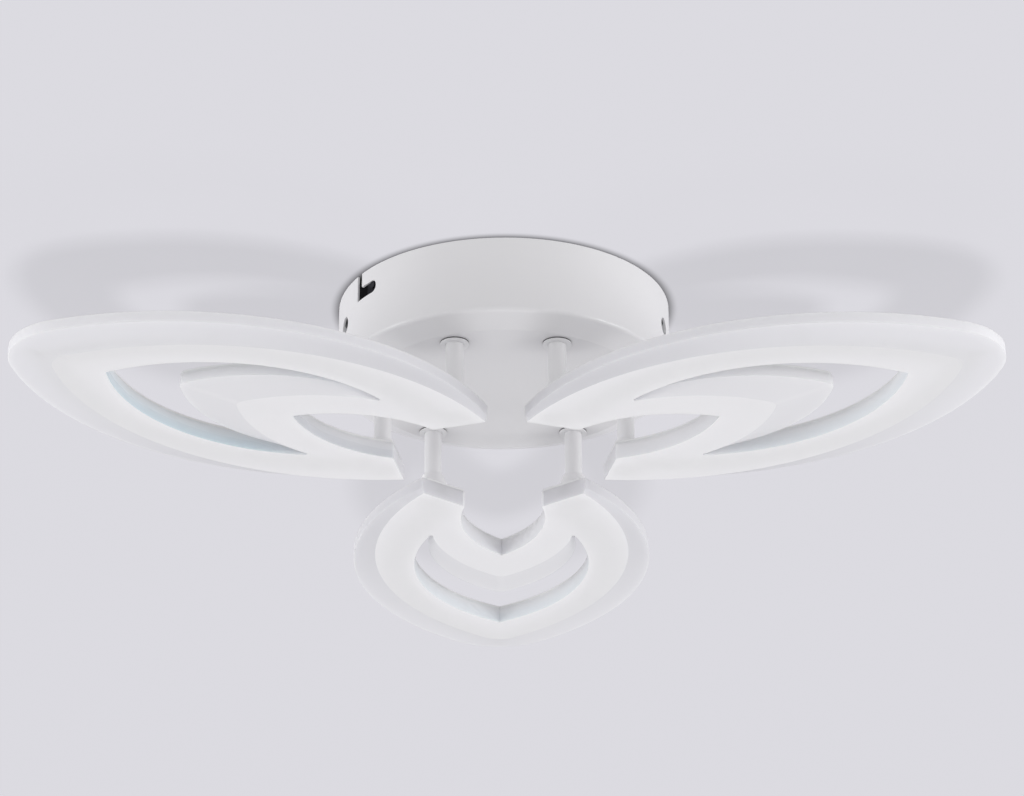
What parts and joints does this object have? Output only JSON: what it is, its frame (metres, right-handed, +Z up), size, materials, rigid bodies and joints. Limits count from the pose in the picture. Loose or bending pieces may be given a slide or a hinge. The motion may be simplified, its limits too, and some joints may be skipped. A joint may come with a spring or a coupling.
{
  "type": "flush ceiling light",
  "caption": "Flush LED ceiling light: round canopy on a bayonet bracket, hollow posts and leaf-shaped opal light plates with crescent openings.",
  "frame": {"origin": "middle of the canopy on the ceiling plane, where the bracket's top face meets the ceiling", "axes": "+Z up to the ceiling; one petal points along +Y, the other two to the -X -Y and +X -Y sides"},
  "size_m": [0.5304, 0.4785, 0.096],
  "materials": {
    "white_paint": "gloss white powder coat",
    "plate_paint": "satin white powder coat",
    "acrylic": "opal white acrylic, satin",
    "zinc": "zinc plated",
    "black_steel": "black oxide",
    "driver_plastic": "fine texture",
    "terminal_plastic": "natural",
    "brass": "plain",
    "mains_insulation": "smooth",
    "earth_insulation": "smooth",
    "board_white": "solder mask",
    "led_phosphor": "phosphor",
    "connector_plastic": "natural",
    "lead_insulation": "smooth"
  },
  "bodies": {
    "bracket": {"ceiling_bracket": "black_steel", "bracket_studs": "black_steel", "bracket_locknuts": "black_steel"},
    "lamp": {"canopy": "white_paint", "collar_far_left": "white_paint", "collar_far_right": "white_paint", "collar_left_back": "white_paint", "collar_left_front": "white_paint", "collar_right_back": "white_paint", "collar_right_front": "white_paint", "driver_base": "driver_plastic", "driver_cover": "driver_plastic", "driver_nuts": "zinc", "earth_lead": "earth_insulation", "earth_nut": "zinc", "earth_tag": "brass", "foot_far_left": "white_paint", "foot_far_right": "white_paint", "foot_left_back": "white_paint", "foot_left_front": "white_paint", "foot_right_back": "white_paint", "foot_right_front": "white_paint", "foot_screws": "zinc", "mains_wires": "mains_insulation", "petal_far_connector": "connector_plastic", "petal_far_lead": "lead_insulation", "petal_far_led_board": "board_white", "petal_far_led_chips": "led_phosphor", "petal_far_lens": "acrylic", "petal_far_plate": "plate_paint", "petal_far_screws": "zinc", "petal_left_connector": "connector_plastic", "petal_left_lead": "lead_insulation", "petal_left_led_board": "board_white", "petal_left_led_chips": "led_phosphor", "petal_left_lens": "acrylic", "petal_left_plate": "plate_paint", "petal_left_screws": "zinc", "petal_right_connector": "connector_plastic", "petal_right_lead": "lead_insulation", "petal_right_led_board": "board_white", "petal_right_led_chips": "led_phosphor", "petal_right_lens": "acrylic", "petal_right_plate": "plate_paint", "petal_right_screws": "zinc", "post_far_left": "white_paint", "post_far_right": "white_paint", "post_left_back": "white_paint", "post_left_front": "white_paint", "post_nuts": "zinc", "post_right_back": "white_paint", "post_right_front": "white_paint", "post_washers": "zinc", "terminal_block": "terminal_plastic", "terminal_screws": "brass"}
  },
  "joints": [
    {"name": "bayonet_twist", "type": "hinge", "parent": "bracket", "child": "lamp", "pos_m": [0, 0, -0.0108], "axis": [0, 0, 1], "range_deg": [0, 7.5]}
  ]
}
